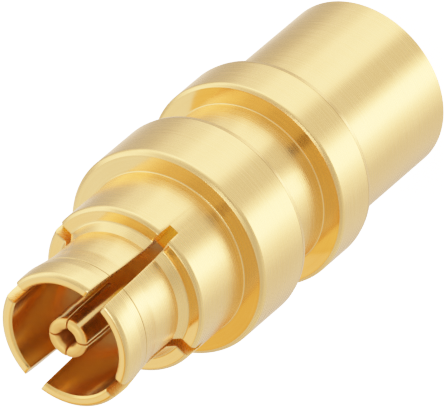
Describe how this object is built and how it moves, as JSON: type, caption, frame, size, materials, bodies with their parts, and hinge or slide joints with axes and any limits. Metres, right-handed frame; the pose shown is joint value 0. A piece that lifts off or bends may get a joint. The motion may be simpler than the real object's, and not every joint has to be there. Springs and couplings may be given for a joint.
{
  "type": "miniature coaxial cable connector",
  "caption": "Straight cable end of a miniature push-on coaxial connector: gold body with slotted spring fingers, banded grip and cable bore, around a slotted socket contact in beads.",
  "frame": {"origin": "centre of the flat rear ring face, where the cable goes in", "axes": "+Z along the connector's axis from the cable end to the mating end; X and Y run through the slots between the spring fingers"},
  "size_m": [0.0034, 0.0034, 0.0086],
  "materials": {
    "gold_body": "satin gold plate",
    "gold_contact": "bright gold plate",
    "white_bead": "matte"
  },
  "bodies": {
    "root": {"body": "gold_body", "centre_contact": "gold_contact", "front_insulator": "white_bead", "rear_insulator": "white_bead", "retaining_bushing": "gold_body"}
  },
  "joints": []
}
